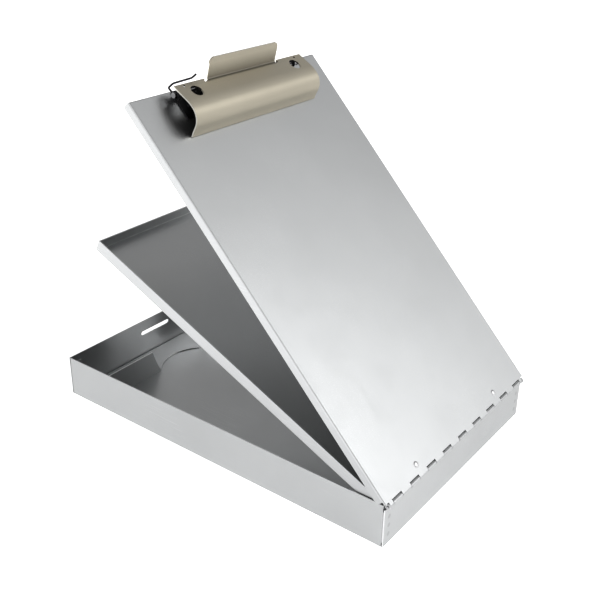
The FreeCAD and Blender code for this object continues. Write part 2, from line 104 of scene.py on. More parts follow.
def noise(tree, vector, scale, detail):
    """A Noise Texture's value."""
    node = tree.nodes.new("ShaderNodeTexNoise")
    node.inputs["Scale"].default_value = scale
    node.inputs["Detail"].default_value = detail
    tree.links.new(vector, node.inputs["Vector"])
    return node.outputs["Fac"]


def spread(tree, value, source, target):
    """A value carried from one span of numbers to another, held at both ends."""
    node = tree.nodes.new("ShaderNodeMapRange")
    for label, number in zip(("From Min", "From Max", "To Min", "To Max"), (*source, *target)):
        node.inputs[label].default_value = number
    tree.links.new(value, node.inputs["Value"])
    return node.outputs["Result"]


def turned_place(tree, vector, turn, scale=(1, 1, 1)):
    """The vector turned, then scaled, by a Mapping node."""
    node = tree.nodes.new("ShaderNodeMapping")
    node.vector_type = "POINT"
    node.inputs["Rotation"].default_value = turn
    node.inputs["Scale"].default_value = scale
    tree.links.new(vector, node.inputs["Vector"])
    return node.outputs["Vector"]


def rolled_grain():
    """Fine lines along local Y, with a slow cloudiness over the whole sheet."""
    group, entry, leave = new_group(
        "rolled_grain",
        [("Vector", "NodeSocketVector", None), ("Line Spacing", "NodeSocketFloat", 0.0004),
         ("Line Length", "NodeSocketFloat", 0.04), ("Cloud Size", "NodeSocketFloat", 0.11)],
        ["Lines", "Clouds"])
    parts = group.nodes.new("ShaderNodeSeparateXYZ")
    group.links.new(entry["Vector"], parts.inputs[0])
    joined = group.nodes.new("ShaderNodeCombineXYZ")
    for axis, spacing in (("X", "Line Spacing"), ("Y", "Line Length"), ("Z", "Line Spacing")):
        group.links.new(maths(group, "DIVIDE", parts.outputs[axis], entry[spacing]), joined.inputs[axis])
    group.links.new(noise(group, joined.outputs[0], 1.0, 3.0), leave["Lines"])
    clouds = group.nodes.new("ShaderNodeTexNoise")
    clouds.inputs["Detail"].default_value = 4.0
    group.links.new(entry["Vector"], clouds.inputs["Vector"])
    group.links.new(maths(group, "DIVIDE", 1.0, entry["Cloud Size"]), clouds.inputs["Scale"])
    group.links.new(clouds.outputs["Fac"], leave["Clouds"])
    return group


def handling_marks():
    """Sparse hair scratches in three directions, and soft smudges left by hands."""
    group, entry, leave = new_group(
        "handling_marks",
        [("Vector", "NodeSocketVector", None), ("Smudge Size", "NodeSocketFloat", 0.05)],
        ["Scratches", "Smudges"])
    stretch = (1 / SCRATCH_WIDTH, 1 / SCRATCH_LENGTH, 1 / SCRATCH_WIDTH)
    scratches = None
    for turn in SCRATCH_TURNS:
        stretched = turned_place(group, entry["Vector"], (turn / 3, turn / 2, turn), stretch)
        line = spread(group, noise(group, stretched, 1.0, 0.0), (0.73, 0.8), (0.0, 1.0))
        scratches = line if scratches is None else maths(group, "MAXIMUM", scratches, line)
    where = spread(group, noise(group, entry["Vector"], SCRATCHED_PATCHES, 2.0), (0.5, 0.62), (0.0, 1.0))
    group.links.new(maths(group, "MULTIPLY", scratches, where), leave["Scratches"])
    smudges = group.nodes.new("ShaderNodeTexNoise")
    smudges.inputs["Detail"].default_value = 3.0
    smudges.inputs["Distortion"].default_value = 1.5
    group.links.new(entry["Vector"], smudges.inputs["Vector"])
    group.links.new(maths(group, "DIVIDE", 1.0, entry["Smudge Size"]), smudges.inputs["Scale"])
    group.links.new(spread(group, smudges.outputs["Fac"], (0.45, 0.7), (0.0, 1.0)), leave["Smudges"])
    return group


GRAIN, MARKS = rolled_grain(), handling_marks()


def blended(tree, mask, first, second):
    """A colour between two, where each is a socket or a colour."""
    node = tree.nodes.new("ShaderNodeMix")
    node.data_type = "RGBA"
    tree.links.new(mask, node.inputs["Factor"])
    for label, colour in (("A", first), ("B", second)):
        if isinstance(colour, bpy.types.NodeSocket):
            tree.links.new(colour, node.inputs[label])
        else:
            node.inputs[label].default_value = (*colour, 1.0)
    return node.outputs["Result"]


def metal(name, colour, roughness, folded=False, turn=(0, 0, 0), lines=(0.0004, 0.04), depth=0.00002,
          cloudy=0.05, shade_attribute=None):
    """Bare or plated metal with fine lines, clouds, scratches and smudges.

    A folded sheet reads where each face lay before it was folded; other pieces read Object coordinates
    through turn. The attribute given for painted shade darkens the metal where it is high.
    """
    material = bpy.data.materials.new(name)
    material.use_nodes = True
    tree = material.node_tree
    shader = tree.nodes["Principled BSDF"]
    shader.inputs["Metallic"].default_value = 1.0
    place = tree.nodes.new("ShaderNodeTexCoord").outputs["Object"]
    if folded:
        flat = tree.nodes.new("ShaderNodeAttribute")
        flat.attribute_name = FLAT_PLACE
        along_lines = flat.outputs["Vector"]
    else:
        along_lines = turned_place(tree, place, turn)
    grain, marks = tree.nodes.new("ShaderNodeGroup"), tree.nodes.new("ShaderNodeGroup")
    grain.node_tree, marks.node_tree = GRAIN, MARKS
    grain.inputs["Line Spacing"].default_value, grain.inputs["Line Length"].default_value = lines
    tree.links.new(along_lines, grain.inputs["Vector"])
    tree.links.new(place, marks.inputs["Vector"])

    dull = [channel * (1 - cloudy) for channel in colour]
    bright = [min(1.0, channel * SCRATCH_SHINE) for channel in colour]
    clouds = spread(tree, grain.outputs["Clouds"], (0.3, 0.7), (0.0, 1.0))
    skin = blended(tree, clouds, dull, colour)
    skin = blended(tree, marks.outputs["Scratches"], skin, bright)
    # Painted shade: the metal is darkened where the attribute is high.
    if shade_attribute:
        fold_shading = tree.nodes.new("ShaderNodeAttribute")
        fold_shading.attribute_name = shade_attribute
        shade_colour = [channel * PAINTED_SHADE_FACTOR for channel in colour]
        skin = blended(tree, fold_shading.outputs["Fac"], skin, shade_colour)
    tree.links.new(skin, shader.inputs["Base Color"])

    satin = spread(tree, grain.outputs["Lines"], (0.25, 0.75),
                   (roughness - LINE_SATIN, roughness + LINE_SATIN))
    greasy = spread(tree, marks.outputs["Smudges"], (0.0, 1.0), (0.0, SMUDGE_DULLING))
    cut = spread(tree, marks.outputs["Scratches"], (0.0, 1.0), (0.0, SCRATCH_POLISH))
    tree.links.new(maths(tree, "ADD", maths(tree, "ADD", satin, greasy), cut), shader.inputs["Roughness"])

    scored = maths(tree, "SUBTRACT", grain.outputs["Lines"],
                   maths(tree, "MULTIPLY", marks.outputs["Scratches"], SCRATCH_DEPTH))
    bump = tree.nodes.new("ShaderNodeBump")
    bump.inputs["Strength"].default_value = RELIEF
    bump.inputs["Distance"].default_value = depth
    tree.links.new(scored, bump.inputs["Height"])
    tree.links.new(bump.outputs[0], shader.inputs["Normal"])
    return material


bare_sheet = metal("bare_sheet", BARE_ALUMINIUM, roughness=0.35, folded=True)
# The lighter edge finish, partly bare cut metal and partly a painted highlight along the edges.
sheared_sheet = metal("sheared_sheet", SHEARED_EDGE_HIGHLIGHT, roughness=0.3, lines=(0.0002, 0.0008),
                      depth=0.00001)


def is_sheared(face):
    """True for a narrow face with square corners along both sides, where the sheet was cut."""
    around = face.calc_perimeter()
    square = sum(edge.calc_length() for edge in face.edges if edge.calc_face_angle(0) > SHARP_EDGE)
    narrow = face.calc_area() < SHEARED_NARROW * around * SHEET
    return square > SHEARED_SQUARE * around and narrow


def plain(piece):
    """Turns what a piece's modifiers make into its own mesh."""
    graph = bpy.context.evaluated_depsgraph_get()
    result = bpy.data.meshes.new_from_object(piece.evaluated_get(graph), preserve_all_data_layers=True,
                                             depsgraph=graph)
    piece.modifiers.clear()
    piece.data = result
    result.name = piece.name


def new_piece(name, mesh, finishes):
    """A piece in the scene with its finishes in order."""
    piece = bpy.data.objects.new(name, mesh)
    for finish in finishes:
        mesh.materials.append(finish)
    bpy.context.scene.collection.objects.link(piece)
    return piece


def eased_copy(node, name, finishes, eased=1, finish_of=None):
    """A merged copy of a CAD piece with its sharp edges eased.

    finishes are its sheet and its sheared edge, whose lighter colour is partly a painted highlight, then
    any that finish_of gives by face. eased is the number of the finish that its eased edges take, so a
    lighter finish there paints a highlight along them.
    """
    shape = bmesh.new()
    shape.from_mesh(nodes[node].data)
    bmesh.ops.remove_doubles(shape, verts=shape.verts, dist=SAME_POINT)
    bmesh.ops.dissolve_limit(shape, angle_limit=SAME_FACE, verts=shape.verts, edges=shape.edges)
    for face in shape.faces:
        face.smooth = True
        face.material_index = 1 if is_sheared(face) else finish_of(face) if finish_of else 0
    mesh = bpy.data.meshes.new(name)
    shape.to_mesh(mesh)
    shape.free()
    piece = new_piece(name, mesh, finishes)
    easing = piece.modifiers.new("eased", "BEVEL")
    easing.width = EASED_EDGE
    easing.segments = 2
    easing.limit_method = "ANGLE"
    easing.angle_limit = SHARP_EDGE
    easing.material = eased
    shading = piece.modifiers.new("level_faces", "WEIGHTED_NORMAL")
    shading.mode = "FACE_AREA"
    shading.weight = 80
    plain(piece)
    return piece


def unfold(piece, lean=0.0):
    """Stores where each corner lay on the flat sheet, across and along it, before it was folded."""
    level = Matrix.Rotation(-lean, 3, "X")
    mesh = piece.data
    flat = mesh.attributes.new(FLAT_PLACE, "FLOAT_VECTOR", "CORNER")
    for face in mesh.polygons:
        side, end, top = (abs(part) for part in level @ face.normal)
        for index in face.loop_indices:
            x, y, z = level @ mesh.vertices[mesh.loops[index].vertex_index].co
            if side > max(end, top):
                x = z
            elif end > top:
                y = z
            flat.data[index].vector = (x, y, 0.0)


def fit(piece, body, slot, *stands_for):
    """Fixes a finished piece to its body and hides what it stands for."""
    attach(piece, body)
    if stands_for:
        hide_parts(*stands_for)


box_sheet = eased_copy("box_pan", "box_sheet", [bare_sheet, sheared_sheet])
unfold(box_sheet)
fit(box_sheet, "box", "aluminium_sheet", "box_pan")


def turned(name, outline, steps=32):
    """A closed mesh turned about Z from an outline of (radius, height) that starts and ends on Z."""
    shape = bmesh.new()
    rings = []
    for radius, height in outline:
        if radius == 0:
            rings.append([shape.verts.new((0, 0, height))] * steps)
            continue
        ring = []
        for step in range(steps):
            angle = 2 * math.pi * step / steps
            ring.append(shape.verts.new((radius * math.cos(angle), radius * math.sin(angle), height)))
        rings.append(ring)
    for upper, lower in zip(rings, rings[1:]):
        for step in range(steps):
            after = (step + 1) % steps
            corners = dict.fromkeys((upper[step], lower[step], lower[after], upper[after]))
            shape.faces.new(corners).smooth = True
    bmesh.ops.recalc_face_normals(shape, faces=shape.faces)
    mesh = bpy.data.meshes.new(name)
    shape.to_mesh(mesh)
    shape.free()
    mesh.set_sharp_from_angle(angle=SHARP_RIM)
    return bpy.data.objects.new(name, mesh)


def node_tree(name, inputs):
    """An empty Geometry Nodes tree with named inputs, given as (name, type)."""
    tree = bpy.data.node_groups.new(name, "GeometryNodeTree")
    tree.interface.new_socket("Geometry", in_out="INPUT", socket_type="NodeSocketGeometry")
    for label, kind in inputs:
        tree.interface.new_socket(label, in_out="INPUT", socket_type=kind)
    tree.interface.new_socket("Geometry", in_out="OUTPUT", socket_type="NodeSocketGeometry")
    return tree, tree.nodes.new("NodeGroupInput").outputs, tree.nodes.new("NodeGroupOutput").inputs


def chain(tree, start, *kinds):
    """New nodes joined first output to first input, from a geometry socket; gives them in order."""
    made, carried = [], start
    for kind in kinds:
        node = tree.nodes.new(kind)
        tree.links.new(carried, node.inputs["Points" if kind == "GeometryNodeInstanceOnPoints" else 0])
        carried = node.outputs[0]
        made.append(node)
    return made


def set_at_points():
    """Sets one pattern piece at every point, turned the same way."""
    tree, entry, leave = node_tree("set_at_points", [("Pattern", "NodeSocketObject"),
                                                     ("Turn", "NodeSocketVector"),
                                                     ("Finish", "NodeSocketMaterial")])
    pattern = tree.nodes.new("GeometryNodeObjectInfo")
    tree.links.new(entry["Pattern"], pattern.inputs["Object"])
    copies, _, painted = chain(tree, entry["Geometry"], "GeometryNodeInstanceOnPoints",
                                   "GeometryNodeRealizeInstances", "GeometryNodeSetMaterial")
    tree.links.new(pattern.outputs["Geometry"], copies.inputs["Instance"])
    tree.links.new(entry["Turn"], copies.inputs["Rotation"])
    tree.links.new(entry["Finish"], painted.inputs["Material"])
    tree.links.new(painted.outputs[0], leave["Geometry"])
    return tree


SET_AT_POINTS = set_at_points()


def grow(piece, tree, values):
    """Puts a Geometry Nodes tree on a piece, with its inputs given by name."""
    modifier = piece.modifiers.new(tree.name, "NODES")
    modifier.node_group = tree
    for item in tree.interface.items_tree:
        if item.in_out == "INPUT" and item.name in values:
            modifier[item.identifier] = values[item.name]


def set_row(name, pattern, places, turn, finish):
    """One mesh of the same small part set at several places."""
    mesh = bpy.data.meshes.new(name)
    mesh.from_pydata(places, [], [])
    piece = new_piece(name, mesh, [])
    grow(piece, SET_AT_POINTS, {"Pattern": pattern, "Turn": turn, "Finish": finish})
    plain(piece)
    return piece


HINGE = Vector(frame["joints"][0]["pos_m"])
box_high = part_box("box_pan")[1]
front_face = HINGE.y + CURL_INSIDE
tab_face = box_high.y - 2 * SHEET
WELD_OUTLINE = ((0.0, 0.00001), (0.0013, 0.00001), (0.0016, 0.00004), (0.0019, 0.00003),
                (0.002, -0.00002), (0.0, -0.00002))
WELD_FROM_SIDE = 0.007
WELD_HEIGHTS = (0.010, 0.0185, 0.027)
TOWARDS_HINGE = (math.pi / 2, 0.0, 0.0)
weld_metal = metal("weld_mark", WELD_COLOUR, roughness=0.42, lines=(0.0003, 0.0003))
weld_pattern = turned("weld_pattern", WELD_OUTLINE)
tab_welds = [(side * (box_high.x - WELD_FROM_SIDE), face, height)
             for side in (-1, 1) for face in (front_face, tab_face) for height in WELD_HEIGHTS]
fit(set_row("tab_weld_marks", weld_pattern, tab_welds, TOWARDS_HINGE, weld_metal), "box",
    "aluminium_sheet")

# ---- Rest rail ----
# An angle of the same sheet lies across the box behind the papers. Its web is cut away in the middle
# for a finger, and its foot is spot-welded to the floor.

RAIL_WELDS = (-0.098, -0.066, 0.066, 0.098)
rail_sheet = eased_copy("tray_rest_rail", "rest_rail_sheet", [bare_sheet, sheared_sheet])
unfold(rail_sheet)
fit(rail_sheet, "box", "aluminium_sheet", "tray_rest_rail")
rail_low, rail_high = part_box("tray_rest_rail")
foot_middle = (rail_low.y + rail_high.y) / 2
foot_welds = [(x, foot_middle, rail_low.z + SHEET) for x in RAIL_WELDS]
fit(set_row("rail_weld_marks", weld_pattern, foot_welds, (0.0, 0.0, 0.0), weld_metal), "box",
    "aluminium_sheet")

# ---- Hinge pin ----
# One straight drawn steel wire runs through every curl of the box and the lid, and through the tray's
# two ears. Drawing leaves fine lines along it.

ALONG_WIDTH = (0.0, 0.0, math.pi / 2)
DRAWN_STEEL = (0.5, 0.5, 0.51)
drawn_steel = metal("drawn_steel", DRAWN_STEEL, roughness=0.3, turn=ALONG_WIDTH, lines=(0.0002, 0.02))


def paint(node, finish):
    """Gives a CAD piece that keeps its own mesh its finish."""
    for slot in nodes[node].material_slots:
        slot.material = finish


paint("hinge_pin", drawn_steel)

# ---- Tray ----
# A shallow tray of the same aluminium hangs inside the box from two small ears on the hinge pin, and
# lifts with the lid.

open_by = {joint["name"]: -math.radians(joint["range_deg"][0]) for joint in frame["joints"]}
TRAY_OPEN = open_by["tray_hinge"]
tray_sheet = eased_copy("tray_pan", "tray_sheet", [bare_sheet, sheared_sheet])
unfold(tray_sheet, TRAY_OPEN)
fit(tray_sheet, "tray", "aluminium_sheet", "tray_pan")

# ---- Lid ----
# The writing surface is one flat sheet with short folded edges, curled round the pin along its hinge
# edge. Hands and paper have left it a little cloudy.

LID_OPEN = TRAY_OPEN + open_by["lid_hinge"]
lid_sheet = eased_copy("lid_panel", "lid_sheet", [bare_sheet, sheared_sheet])
unfold(lid_sheet, LID_OPEN)
fit(lid_sheet, "lid", "aluminium_sheet", "lid_panel")

# ---- Hinge stiffener and its rivets ----
# A flat strip under the lid stiffens the hinge edge. Two soft aluminium rivets hold it, each with a low
# domed head on the writing side and a set tail underneath.

LID_FACE_OVER_HINGE = CURL_INSIDE + SHEET
SQUARE_TO_LID = (LID_OPEN, 0.0, 0.0)


def on_lid(x, along, height):
    """A place given from the hinge along the lid and over its top face."""
    over = height + LID_FACE_OVER_HINGE
    cosine, sine = math.cos(LID_OPEN), math.sin(LID_OPEN)
    return HINGE + Vector((x, along * cosine - over * sine, along * sine + over * cosine))


stiffener_strip = eased_copy("hinge_stiffener", "stiffener_strip", [bare_sheet, sheared_sheet])
unfold(stiffener_strip, LID_OPEN)
fit(stiffener_strip, "lid", "aluminium_sheet", "hinge_stiffener")

RIVET_COLOUR = (0.74, 0.745, 0.75)
RIVET_TAIL, RIVET_TAIL_HEIGHT, RIVET_TAIL_CORNER = 0.85, 0.0008, 0.0002
STIFFENER_RIVETS = ((-0.067, 0.0096), (0.067, 0.0096))
STIFFENER_SHANK, STIFFENER_HEAD, STIFFENER_DOME = 0.0015, 0.0027, 0.0009
rivet_metal = metal("rivet_metal", RIVET_COLOUR, roughness=0.26, lines=(0.0004, 0.0004), depth=0.00003,
                    cloudy=0.1)


def rivet_pattern(name, shank, head, dome, reach):
    """A set rivet: domed head with a rolled rim, shank through the sheets, and a flattened tail."""
    tail, end, corner = RIVET_TAIL * head, -reach - RIVET_TAIL_HEIGHT, RIVET_TAIL_CORNER
    crown = [(head * share, dome * math.sqrt(1 - share ** 2)) for share in (0.25, 0.5, 0.7, 0.86, 0.96)]
    rim = [(head, 0.1 * dome), (0.97 * head, 0.0)]
    below = [(shank, 0.0), (shank, -reach), (tail, -reach), (tail, end + corner), (tail - corner, end),
             (0.0, end)]
    return turned(name, [(0.0, dome), *crown, *rim, *below])


stiffener_rivet = rivet_pattern("stiffener_rivet", STIFFENER_SHANK, STIFFENER_HEAD, STIFFENER_DOME,
                                2 * SHEET)
stiffener_places = [on_lid(x, along, 0.0) for x, along in STIFFENER_RIVETS]
fit(set_row("stiffener_rivet_set", stiffener_rivet, stiffener_places, SQUARE_TO_LID, rivet_metal), "lid",
    "rivet_aluminium", "stiffener_rivets")

# ---- Clip base and its rivets ----
# The clip sits on a steel plate with an ear turned up at each end for its rod. The plate and the four
# rivets that hold it to the lid are coloured near black as painted shade, for the dark space under the
# jaw.

CLIP_SHEET = 0.0012
BASE_RIVETS = ((-0.064, 0.3485), (0.064, 0.3485), (-0.022, 0.344), (0.022, 0.344))
BASE_SHANK, BASE_HEAD, BASE_DOME = 0.0016, 0.0031, 0.0013
# Near black as painted shade for the plate and its rivets; its sheared and eased edges take a lighter
# grey.
SHADE_BLACK = (0.05, 0.05, 0.053)
BASE_EDGE_GREY = (0.16, 0.155, 0.15)
black_steel = metal("black_steel", SHADE_BLACK, roughness=0.42, turn=ALONG_WIDTH, cloudy=0.3)
rubbed_steel = metal("rubbed_steel", BASE_EDGE_GREY, roughness=0.36, lines=(0.0003, 0.001))
base_plate = eased_copy("clip_base", "base_plate", [black_steel, rubbed_steel])
fit(base_plate, "lid", "clip_black", "clip_base")
base_rivet = rivet_pattern("base_rivet", BASE_SHANK, BASE_HEAD, BASE_DOME, CLIP_SHEET + SHEET)
base_places = [on_lid(x, along, CLIP_SHEET) for x, along in BASE_RIVETS]
fit(set_row("base_rivet_set", base_rivet, base_places, SQUARE_TO_LID, black_steel), "lid", "clip_black",
    "clip_base_rivets")

# ---- Clip rod ----
# A steel rod joins the ears of the base, and the jaw turns on it. Its ends are headed over like rivets.

paint("clip_rod", drawn_steel)

# ---- Jaw springs ----
# Two torsion springs of black wire are wound on the rod. One leg of each stands on the base and the
# other lifts the jaw's back edge, which shuts its lip on the papers.

ROD_ALONG, ROD_HEIGHT = 0.357, 0.007
WIRE, WIRE_BEND = 0.00055, 0.0012
COIL_RADIUS, COIL_TURNS = 0.0024, 10.5
COIL_NEAR, COIL_FAR = 0.03755, 0.04945
WIRE_BLACK = (0.045, 0.045, 0.05)
ALONG_ROD = (Matrix.Rotation(LID_OPEN, 3, "X") @ Matrix.Rotation(math.pi / 2, 3, "Y")).to_euler()
spring_wire = metal("spring_wire", WIRE_BLACK, roughness=0.32, turn=ALONG_WIDTH, lines=(0.0002, 0.004),
                    cloudy=0.25)


def wound_wire():
    """Round wire wound in a coil about local Z, joined by legs that are given as open splines."""
    tree, entry, leave = node_tree("wound_wire", [
        ("Turns", "NodeSocketFloat"), ("Coil Radius", "NodeSocketFloat"),
        ("Coil Length", "NodeSocketFloat"), ("Wire Radius", "NodeSocketFloat"),
        ("Bend", "NodeSocketFloat"), ("Place", "NodeSocketVector"), ("Turn", "NodeSocketVector"),
        ("Finish", "NodeSocketMaterial")])
    coil = tree.nodes.new("GeometryNodeCurveSpiral")
    coil.inputs["Resolution"].default_value = 20
    for label, source in (("Rotations", "Turns"), ("Start Radius", "Coil Radius"),
                          ("End Radius", "Coil Radius"), ("Height", "Coil Length")):
        tree.links.new(entry[source], coil.inputs[label])
    placed, = chain(tree, coil.outputs[0], "GeometryNodeTransform")
    tree.links.new(entry["Place"], placed.inputs["Translation"])
    tree.links.new(entry["Turn"], placed.inputs["Rotation"])
    rounded, = chain(tree, entry["Geometry"], "GeometryNodeFilletCurve")
    tree.links.new(entry["Bend"], rounded.inputs["Radius"])
    rounded.mode = "POLY"
    rounded.inputs["Count"].default_value = 6
    joined = tree.nodes.new("GeometryNodeJoinGeometry")
    tree.links.new(rounded.outputs[0], joined.inputs[0])
    tree.links.new(placed.outputs[0], joined.inputs[0])
    section = tree.nodes.new("GeometryNodeCurvePrimitiveCircle")
    section.inputs["Resolution"].default_value = 12
    tree.links.new(entry["Wire Radius"], section.inputs["Radius"])
    wire, _, painted = chain(tree, joined.outputs[0], "GeometryNodeCurveToMesh",
                                 "GeometryNodeRealizeInstances", "GeometryNodeSetMaterial")
    wire.inputs["Fill Caps"].default_value = True
    tree.links.new(section.outputs[0], wire.inputs["Profile Curve"])
    tree.links.new(entry["Finish"], painted.inputs["Material"])
    tree.links.new(painted.outputs[0], leave["Geometry"])
    return tree


WOUND_WIRE = wound_wire()


def sprung_wire(name, legs, values):
    """One mesh of a wound wire and its legs, each a list of points that are rounded where they turn."""
    path = bpy.data.curves.new(name + "_path", "CURVE")
    path.dimensions = "3D"
    for points in legs:
        spline = path.splines.new("POLY")
        spline.points.add(len(points) - 1)
        for point, place in zip(spline.points, points):
            point.co = (*place, 1.0)
    holder = bpy.data.objects.new(name + "_path", path)
    bpy.context.scene.collection.objects.link(holder)
    grow(holder, WOUND_WIRE, values)
    graph = bpy.context.evaluated_depsgraph_get()
    mesh = bpy.data.meshes.new_from_object(holder.evaluated_get(graph), depsgraph=graph)
    bpy.data.objects.remove(holder)
    for face in mesh.polygons:
        face.use_smooth = True
    mesh.set_sharp_from_angle(angle=SHARP_EDGE)
    piece = bpy.data.objects.new(name, mesh)
    bpy.context.scene.collection.objects.link(piece)
    return piece


def mirrored_copy(piece, name):
    """The same piece on the other side of the clipboard, with its faces still pointing outwards."""
    shape = bmesh.new()
    shape.from_mesh(piece.data)
    bmesh.ops.scale(shape, vec=(-1, 1, 1), verts=shape.verts)
    bmesh.ops.reverse_faces(shape, faces=shape.faces)
    mesh = piece.data.copy()
    shape.to_mesh(mesh)
    shape.free()
    copy = bpy.data.objects.new(name, mesh)
    bpy.context.scene.collection.objects.link(copy)
    return copy


def spring_side(along_from_rod, height_from_rod, x):
    """A place beside the rod, given from its centre."""
    return on_lid(x, ROD_ALONG + along_from_rod, ROD_HEIGHT + height_from_rod)


BASE_LEG = ((0.0, -COIL_RADIUS), (0.002, -COIL_RADIUS), (0.0046, -0.00515))
JAW_LEG = ((0.0, COIL_RADIUS), (0.0016, COIL_RADIUS), (0.0036, 0.00492))
spring_legs = [[spring_side(*place, x) for place in leg]
               for leg, x in ((BASE_LEG, COIL_NEAR), (JAW_LEG, COIL_FAR))]
right_spring = sprung_wire("right_jaw_spring", spring_legs, {
    "Turns": COIL_TURNS, "Coil Radius": COIL_RADIUS, "Coil Length": COIL_FAR - COIL_NEAR,
    "Wire Radius": WIRE, "Bend": WIRE_BEND, "Place": spring_side(0, 0, COIL_NEAR), "Turn": ALONG_ROD,
    "Finish": spring_wire})
left_spring = mirrored_copy(right_spring, "left_jaw_spring")
fit(right_spring, "lid", "spring_black", "jaw_spring_right")
fit(left_spring, "lid", "spring_black", "jaw_spring_left")

# ---- Outer spring arm ----
# A thicker wire turns once round the rod outside the left ear, comes up behind the jaw and lies along
# its back edge, where its end is turned up.

ARM_WIRE, ARM_BEND = 0.0008, 0.0017
ARM_EYE, ARM_EYE_TURNS, ARM_EYE_LENGTH = 0.0026, 1.25, -0.0021
ARM_X, ARM_BACK = -0.0769, 0.364
ARM_ROUTE = ((ARM_X, ROD_ALONG, ROD_HEIGHT - ARM_EYE), (ARM_X, 0.361, ROD_HEIGHT - ARM_EYE),
             (-0.081, ARM_BACK, 0.0076), (-0.0796, ARM_BACK, 0.0132), (-0.0594, ARM_BACK, 0.0144),
             (-0.0576, ARM_BACK, 0.0192))
outer_arm = sprung_wire("outer_spring_arm", [[on_lid(*place) for place in ARM_ROUTE]], {
    "Turns": ARM_EYE_TURNS, "Coil Radius": ARM_EYE, "Coil Length": ARM_EYE_LENGTH,
    "Wire Radius": ARM_WIRE, "Bend": ARM_BEND, "Place": spring_side(0, 0, ARM_X), "Turn": ALONG_ROD,
    "Finish": spring_wire})
fit(outer_arm, "jaw", "spring_black", "jaw_spring_arm")

# ---- Jaw ----
# The clip's jaw is pressed from steel sheet and nickel-plated to a warm satin. Its blanked ends are
# coloured lighter as a painted highlight, its underside is near black as painted shade, and painted
# shade darkens the fold at the foot of the thumb lever.

NICKEL = (0.56, 0.525, 0.443)
# Near white for the blanked ends: a painted highlight.
BLANKED_NICKEL_HIGHLIGHT = (0.9, 0.88, 0.82)
# Near black for the jaw's underside: painted shade for the dark space inside the clip.
UNDERSIDE_SHADE = (0.075, 0.072, 0.066)
JAW_BACK_ALONG, JAW_BACK_HEIGHT = 0.3612, 0.013
JAW_SLOPE = math.radians(16)
LEVER_ROOT_ALONG, LEVER_HALF_WIDTH = 0.3588, 0.044
INSIDE_JAW = (0.346, 0.006)
# The attribute that holds painted shade in a fold.
FOLD_SHADE = "fold"
FOLD_REACH = 0.0022
# The nickel takes painted shade where the fold attribute is high.
nickel = metal("satin_nickel", NICKEL, roughness=0.5, turn=ALONG_WIDTH, lines=(0.0003, 0.03), cloudy=0.07,
               shade_attribute=FOLD_SHADE)
blanked_highlight = metal("blanked_nickel", BLANKED_NICKEL_HIGHLIGHT, roughness=0.32, lines=(0.0002, 0.001), depth=0.00001)
# The underside's finish is painted shade.
underside_shade = metal("dull_underside", UNDERSIDE_SHADE, roughness=0.55, turn=ALONG_WIDTH, cloudy=0.25)


def lid_coordinates(place):
    """How far a place is along the lid from the hinge, and over its face."""
    away = place - HINGE
    cosine, sine = math.cos(LID_OPEN), math.sin(LID_OPEN)
    return away.y * cosine + away.z * sine, away.z * cosine - away.y * sine - LID_FACE_OVER_HINGE


def jaw_side(face):
    """2 for a face on the jaw's underside, which takes the painted shade, and 0 for one on its outside or
    on the lever.
    """
    middle = face.calc_center_median()
    along, height = lid_coordinates(middle)
    if height > JAW_BACK_HEIGHT + (JAW_BACK_ALONG - along) * math.tan(JAW_SLOPE) + CLIP_SHEET:
        return 0
    inwards = on_lid(middle.x, *INSIDE_JAW) - middle
    return 2 if face.normal.dot(inwards) > 0 else 0


def paint_fold_shade(piece, fold, reach, half_width):
    """Stores how deep each point lies in a fold that runs across the piece at (along, height), as painted
    shade.
    """
    fold_shading = piece.data.attributes.new(FOLD_SHADE, "FLOAT", "POINT")
    for index, vertex in enumerate(piece.data.vertices):
        along, height = lid_coordinates(vertex.co)
        away = math.hypot(along - fold[0], height - fold[1]) / reach
        beyond = max(0.0, abs(vertex.co.x) - half_width) / reach
        fold_shading.data[index].value = math.exp(-away ** 2 - beyond ** 2)


# The blanked ends take the painted highlight, and the underside takes the near-black painted shade.
jaw = eased_copy("clip_jaw", "jaw_pressing", [nickel, blanked_highlight, underside_shade], eased=0,
                 finish_of=jaw_side)
lever_root_height = JAW_BACK_HEIGHT + (JAW_BACK_ALONG - LEVER_ROOT_ALONG) * math.tan(JAW_SLOPE)
# Painted shade in the fold at the foot of the lever.
paint_fold_shade(jaw, (LEVER_ROOT_ALONG, lever_root_height + CLIP_SHEET), FOLD_REACH, LEVER_HALF_WIDTH)
fit(jaw, "jaw", "clip_nickel", "clip_jaw")

# ---- Latch ----
# A small nickel-plated plate hangs on a steel pin between two ears of the lid. Its hook catches the slot
# in the box, a fine spring on the pin presses it home, and a bent lip takes a fingertip.

LATCH_X, LATCH_ALONG, LATCH_BELOW = -0.0044, 0.3605, -0.0032 - LID_FACE_OVER_HINGE
LATCH_CURL_REACH, LATCH_HALF_WIDTH = 0.001, 0.02
LATCH_WIRE, LATCH_WIRE_BEND = 0.00028, 0.0005
LATCH_COIL, LATCH_COIL_HALF, LATCH_COIL_TURNS = 0.0012, 0.0053, 17.25
# Its sheared and eased edges take the lighter nickel as a painted highlight, and painted shade darkens it
# where it curls round its pin.
latch = eased_copy("latch_plate", "latch_sheet", [nickel, blanked_highlight])
paint_fold_shade(latch, (LATCH_ALONG, LATCH_BELOW), LATCH_CURL_REACH, LATCH_HALF_WIDTH)
fit(latch, "latch", "clip_nickel", "latch_plate")
paint("latch_pin", drawn_steel)


def by_latch_pin(along_from_pin, height_from_pin, x_from_middle):
    """A place beside the latch's pin, given from the pin's middle."""
    return on_lid(LATCH_X + x_from_middle, LATCH_ALONG + along_from_pin, LATCH_BELOW + height_from_pin)


